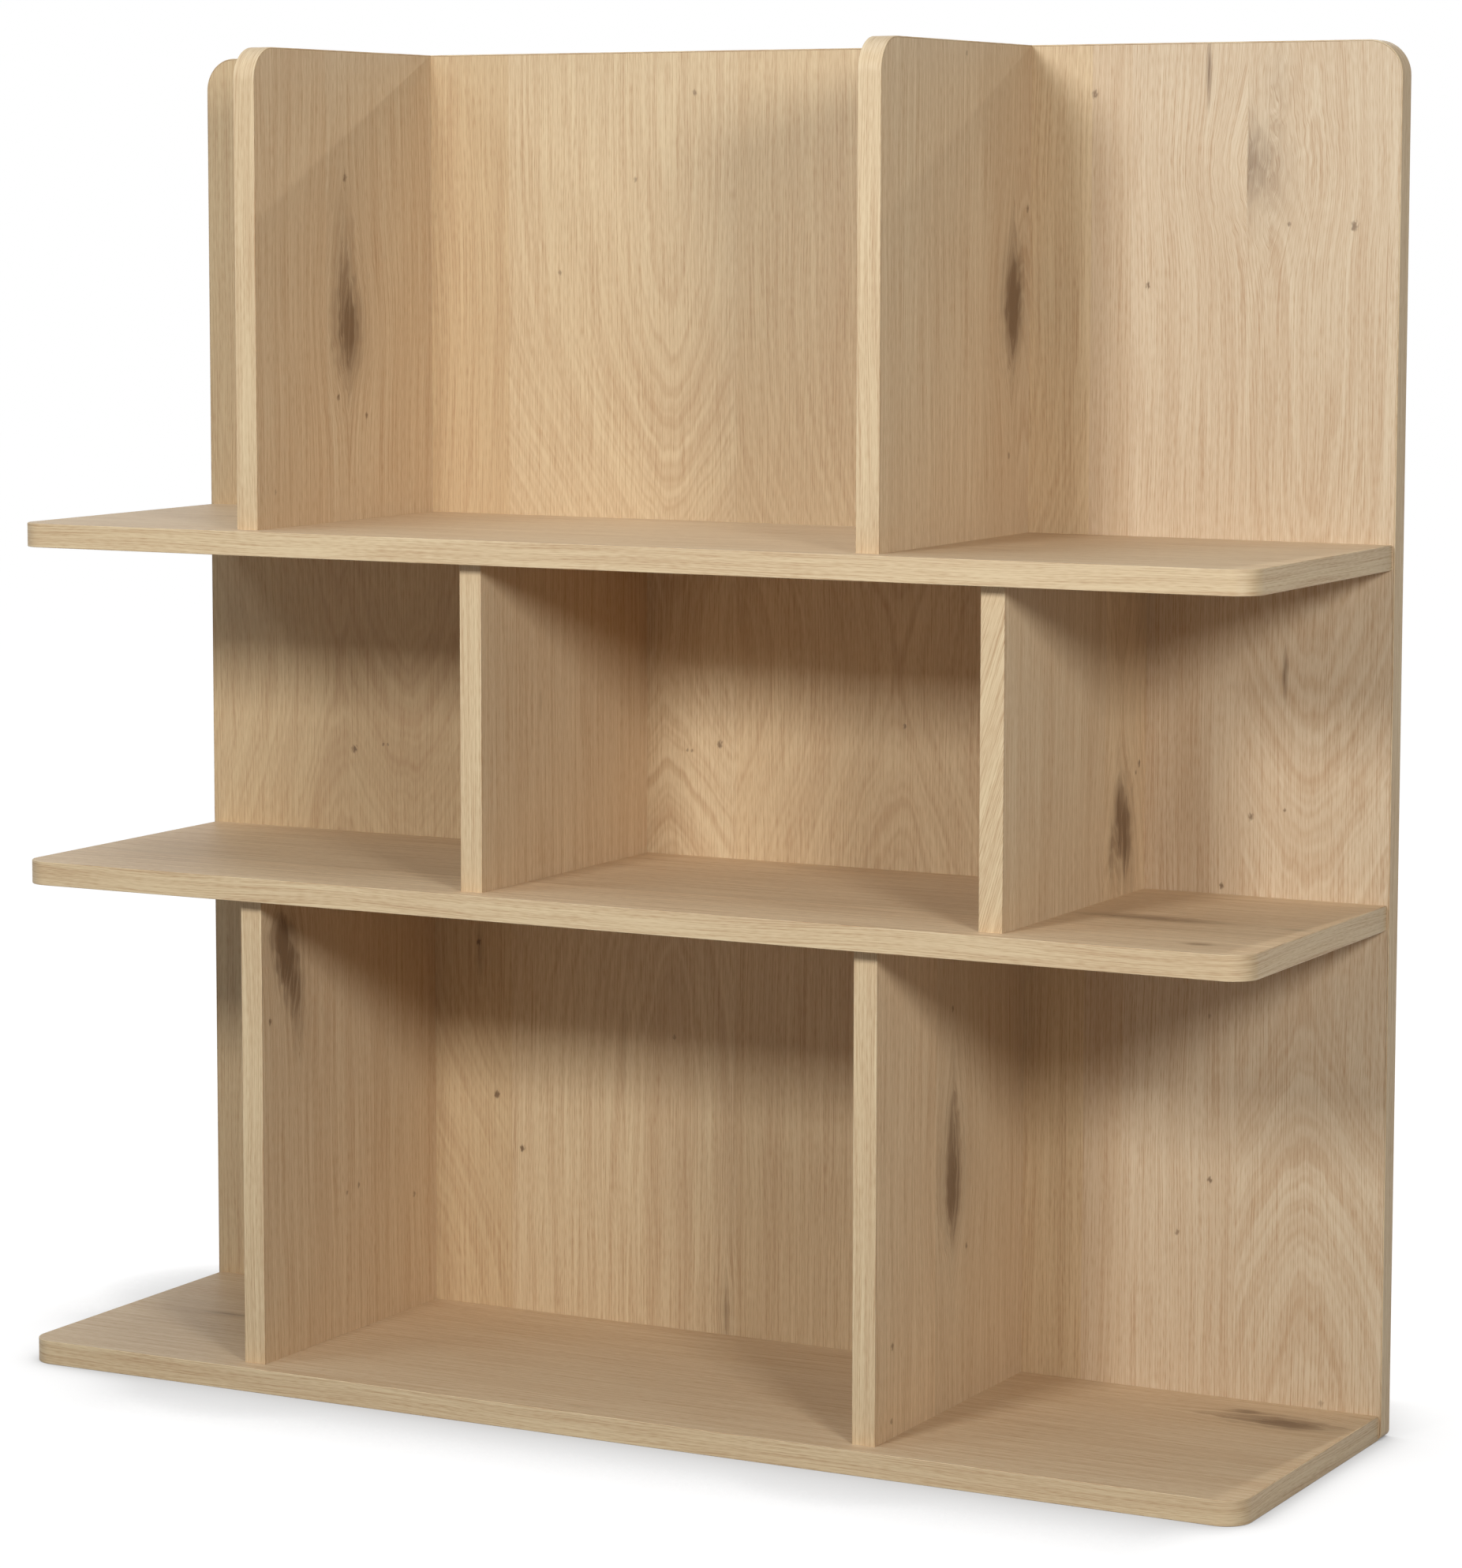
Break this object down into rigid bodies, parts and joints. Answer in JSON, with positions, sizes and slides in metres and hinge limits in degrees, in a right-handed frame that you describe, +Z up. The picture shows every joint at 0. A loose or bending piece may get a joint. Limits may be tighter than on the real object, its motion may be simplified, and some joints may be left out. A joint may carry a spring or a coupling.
{
  "type": "bookcase",
  "caption": "Free-standing oak-veneered bookcase: a back panel down to the floor, equal shelves and upright dividers staggered from tier to tier, with rounded, edge-banded corners.",
  "frame": {"origin": "on the floor, under the middle of the object's width and depth", "axes": "+X to the right as seen from the front, +Y from the front to the back panel, +Z up"},
  "size_m": [1, 0.284, 1],
  "materials": {
    "oak_veneer": "matt lacquered oak veneer on board, open grain",
    "oak_edging": "matt lacquered oak edge banding, grain along the edge",
    "beech_dowel": "plain turned beech",
    "zinc_screw": "bright zinc-plated steel"
  },
  "bodies": {
    "root": {"back_panel": "oak_veneer", "back_panel_edging": "oak_edging", "bottom_shelf": "oak_veneer", "bottom_shelf_edging": "oak_edging", "middle_shelf": "oak_veneer", "middle_shelf_edging": "oak_edging", "top_shelf": "oak_veneer", "top_shelf_edging": "oak_edging", "bottom_divider_left": "oak_veneer", "bottom_divider_left_edging": "oak_edging", "bottom_divider_right": "oak_veneer", "bottom_divider_right_edging": "oak_edging", "middle_divider_left": "oak_veneer", "middle_divider_left_edging": "oak_edging", "middle_divider_right": "oak_veneer", "middle_divider_right_edging": "oak_edging", "top_divider_left": "oak_veneer", "top_divider_left_edging": "oak_edging", "top_divider_right": "oak_veneer", "top_divider_right_edging": "oak_edging", "bottom_dowels": "beech_dowel", "middle_dowels": "beech_dowel", "top_dowels": "beech_dowel", "shelf_screws": "zinc_screw", "divider_screws": "zinc_screw", "base_screws": "zinc_screw"}
  },
  "joints": []
}
